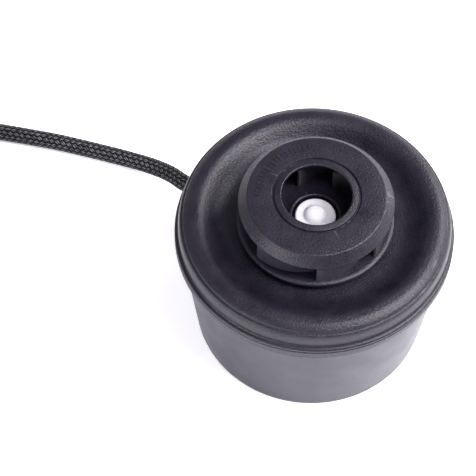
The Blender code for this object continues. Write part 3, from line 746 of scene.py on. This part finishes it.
# ------------------------------------------------------------------------ base and lid
def make_base():
    """The tapered cup, with its gland pad, and the bores in its underside."""
    profile = [
        (0, 3.0), (37.4, 3.0, 1.0), (42.7, 46.0), (42.7, 49.9), (43.1, 49.9), (43.1, 48.7),
        (44.7, 48.7), (44.7, 49.9), (45.0, 49.9, 0.2), (45.0, 46.6), (47.2, 46.6, 0.15),
        (47.45, 46.2, 0.2), (47.1, 45.6, 0.3), (45.95, 45.3, 0.25), (45.6, 44.6, 0.4),
        (40.2, 0.75, 0.5), (39.5, 0, 0.4), (0, 0),
    ]
    screws = [around(LID_SCREW_RING, angle) for angle in LID_SCREW_ANGLES]
    inserts = [around(INSERT_RING, angle) for angle in INSERT_ANGLES]
    bores = [prism("bore", circle(BORE_R, BORE_SIDES), -1.0, BORE_TOP, 0, at)
             for at in screws + inserts]
    shell = cut(lathe("base_shell", profile, ROUND, False), bores)
    liner = [(BORE_R, 0.0, 0.2), (4.2, 0.4), (4.2, 21.7), (BORE_R, 21.7)]
    liners = [lathe("liner", liner, BORE_SIDES, True, at) for at in screws]
    pad = lathe("pad", [(4.4, 43.4, 0.2), (7.3, 43.4, 0.3), (7.6, 43.0, 0.3), (7.6, 38.0),
                        (4.4, 38.0)], FINE, True, gland_axis())
    mesh = joined("base_shell", [shell, pad, *liners])
    place("base_shell", mesh, "housing", "satin_black", "base_cup")


def make_lid():
    """The dished lid with its crest, its grooved skirt and the socket under its middle."""
    profile = [
        (6.2, 54.3), (12.0, 54.3), (12.0, 57.0, 0.3), (13.6, 57.0, 0.3), (14.4, 55.2, 0.4),
        (29.0, 55.2, 3.0), (31.6, 55.5, 1.2), (34.3, 56.7, 1.2), (36.6, 58.5, 1.2),
        (38.4, 59.75, 0.8), (40.2, 60.35, 0.8), (42.6, 60.15, 0.9), (44.1, 59.35, 0.5),
        (44.95, 58.78, 0.14), (45.12, 58.4, 0.1), (45.22, 57.95, 0.1), (45.45, 57.9, 0.1),
        (45.95, 57.75, 0.45), (46.45, 56.6, 0.8), (46.68, 54.5, 0.8), (46.68, 52.9, 0.2),
        (46.5, 52.5, 0.15), (46.5, 52.05, 0.15), (46.9, 51.6, 0.2), (47.5, 51.35, 0.12),
        (47.84, 51.0, 0.14),
        (47.84, 50.35, 0.1), (47.6, 50.15, 0.1), (47.6, 49.85, 0.1), (47.84, 49.65, 0.1),
        (47.84, 47.3, 0.14), (47.55, 46.9, 0.14), (45.4, 46.9, 0.2), (45.4, 50.3),
        (42.4, 50.3),
        (42.4, 55.2), (40.4, 57.8), (38.4, 57.4), (35.4, 54.2), (32.0, 52.3), (15.0, 52.3),
        (15.0, 46.0), (12.3, 46.0), (12.3, 52.3), (6.2, 52.3),
    ]
    place("lid_shell", lathe("lid_shell", profile), "housing", "textured_black", "lid")


# ------------------------------------------------------------------------------- wheel
def vane_outline(start):
    """A closed outline about the vane's curved centre line, with round ends."""
    line = []
    for i in range(VANE_STEPS + 1):
        share = i / VANE_STEPS
        fall = (1 - VANE_CURVE) * share + VANE_CURVE * share**2
        radius = VANE_OUT_R - (VANE_OUT_R - VANE_IN_R) * fall
        angle = math.radians(start + VANE_SWEEP * share)
        line.append(Vector((radius * math.cos(angle), radius * math.sin(angle))))
    left, right = [], []
    for i, point in enumerate(line):
        along = (line[min(i + 1, VANE_STEPS)] - line[max(i - 1, 0)]).normalized()
        nearest_end = min(i, VANE_STEPS - i) / VANE_STEPS
        half = VANE_T / 2 * min(1.0, VANE_TIP + VANE_SWELL * nearest_end)
        across = Vector((-along.y, along.x)) * half
        left.append(point + across)
        right.append(point - across)
    return [tuple(p) for p in left + right[::-1]]


def make_vanes():
    for i in range(VANES):
        outline = vane_outline(VANE_START + 360.0 * i / VANES)
        mesh = prism(f"vane_blade_{i + 1}", outline, VANE_LOW, VANE_HIGH, 0.12)
        place(f"vane_blade_{i + 1}", mesh, "wheel", "textured_black", f"vane_{i + 1}")


def make_plate():
    """The round plate over the vanes, with a groove round its eye."""
    profile = [
        (11.9, 73.1, 0.2), (12.2, 73.35, 0.2), (14.2, 72.98, 0.15), (14.4, 72.2, 0.06),
        (15.0, 72.2, 0.06), (15.2, 72.84, 0.1), (20.0, 72.7, 1.0), (23.35, 72.42, 0.18),
        (23.65, 72.2, 0.15), (26.3, 69.05, 0.4), (26.46, 68.6, 0.2), (26.3, 68.2, 0.2),
        (14.7, 68.2, 0.3), (11.9, 72.4, 0.2),
    ]
    place("rotor_plate_shell", lathe("rotor_plate_shell", profile), "wheel", "textured_black",
          "rotor_plate")


def make_marks():
    """A plain arc of raised bars on the plate's face."""
    meshes = []
    for i in range(MARKS):
        at = around(MARK_RING, FIRST_MARK + (LAST_MARK - FIRST_MARK) * i / (MARKS - 1))
        outline = block((MARK_L, MARK_WIDTHS[i % 2]), 0.25)
        meshes.append(prism("bar", outline, MARK_LOW, MARK_HIGH, 0.12, at))
    marks = place("plate_marks", joined("plate_marks", meshes), "wheel", "textured_black")
    marks.data.materials[0] = finishes["moulded_marks"]


def make_disc():
    """The disc under the vanes, with the hub that holds the cap."""
    profile = [
        (3.3, 56.9), (7.9, 56.9), (7.9, 60.3, 0.2), (8.2, 60.6, 0.2), (8.8, 60.6, 0.2),
        (9.2, 60.2, 0.5), (13.0, 59.3, 2.0), (25.9, 59.3, 0.5), (26.9, 58.85, 0.3),
        (26.9, 57.8, 0.2), (26.5, 57.5, 0.2), (11.0, 57.5, 0.5), (11.0, 54.9, 0.3), (5.4, 54.9),
        (5.4, 49.5), (3.3, 49.5),
    ]
    place("rotor_disc_shell", lathe("rotor_disc_shell", profile), "wheel", "textured_black",
          "rotor_disc")


def make_cap():
    profile = [
        (0, 62.5), (1.2, 62.45, 0.4), (2.6, 62.1, 0.6), (3.6, 61.3, 0.6), (4.1, 60.65, 0.3),
        (4.9, 60.45, 0.5), (6.5, 60.35, 0.2), (6.9, 60.0, 0.15), (6.9, 58.0),
        (2.7, 58.0), (2.7, 61.2), (0, 61.2),
    ]
    place("cap_dome", lathe("cap_dome", profile, 96, False), "wheel", "white_nylon",
          "spindle_cap")


# ------------------------------------------------------------------------------- gland
def make_gland():
    """The gland's body, which goes through the wall, and its grip nut."""
    axis = gland_axis()
    hexagon = circle(GLAND_HEXAGON_R, 6)
    body = [prism("flats", hexagon, 43.7, 47.0, 0.35, axis),
            lathe("thread", [(3.4, 32.6), (4.1, 32.6, 0.2), (4.1, 46.0), (5.2, 46.0),
                             (5.2, 51.5, 0.2), (3.4, 51.5)], FINE, True, axis)]
    place("gland_body_shell", joined("gland_body_shell", body), "housing", "satin_black",
          "gland_body")
    grip = prism("grip", wavy(NUT_R, NUT_DEPTH, NUT_TEETH, 144), 47.3, 52.4, 0.3, axis)
    bore = prism("bore", circle(NUT_BORE_R, FINE), 46.0, 54.0, 0, axis)
    dome = lathe("dome", [(5.5, 47.3), (6.0, 47.3, 0.2), (6.0, 52.0, 0.3), (6.15, 52.8, 0.5),
                          (5.6, 54.6, 0.8), (4.9, 55.7, 0.5), (4.3, 56.0, 0.3), (3.4, 56.0, 0.2),
                          (3.4, 54.6), (5.5, 54.6)], FINE, True, axis)
    place("gland_nut_shell", joined("gland_nut_shell", [cut(grip, [bore]), dome]), "housing",
          "satin_black", "gland_nut")


# ---------------------------------------------------------------------------- assembly
def dress_cad(nodes):
    """The CAD nodes that stay shown get their slot's finish."""
    for node in nodes.values():
        for holder in node.material_slots:
            slot = holder.material.name
            holder.link = "OBJECT"
            holder.material = finishes[slot]


finishes = make_finishes()
make_camera()
make_studio()
dress_cad(frame["nodes"])
lead, lead_centre = make_lead()
lead_pieces = [make_tie(), *make_plug()]
make_base()
make_lid()
make_disc()
make_vanes()
make_plate()
make_marks()
make_cap()
make_gland()
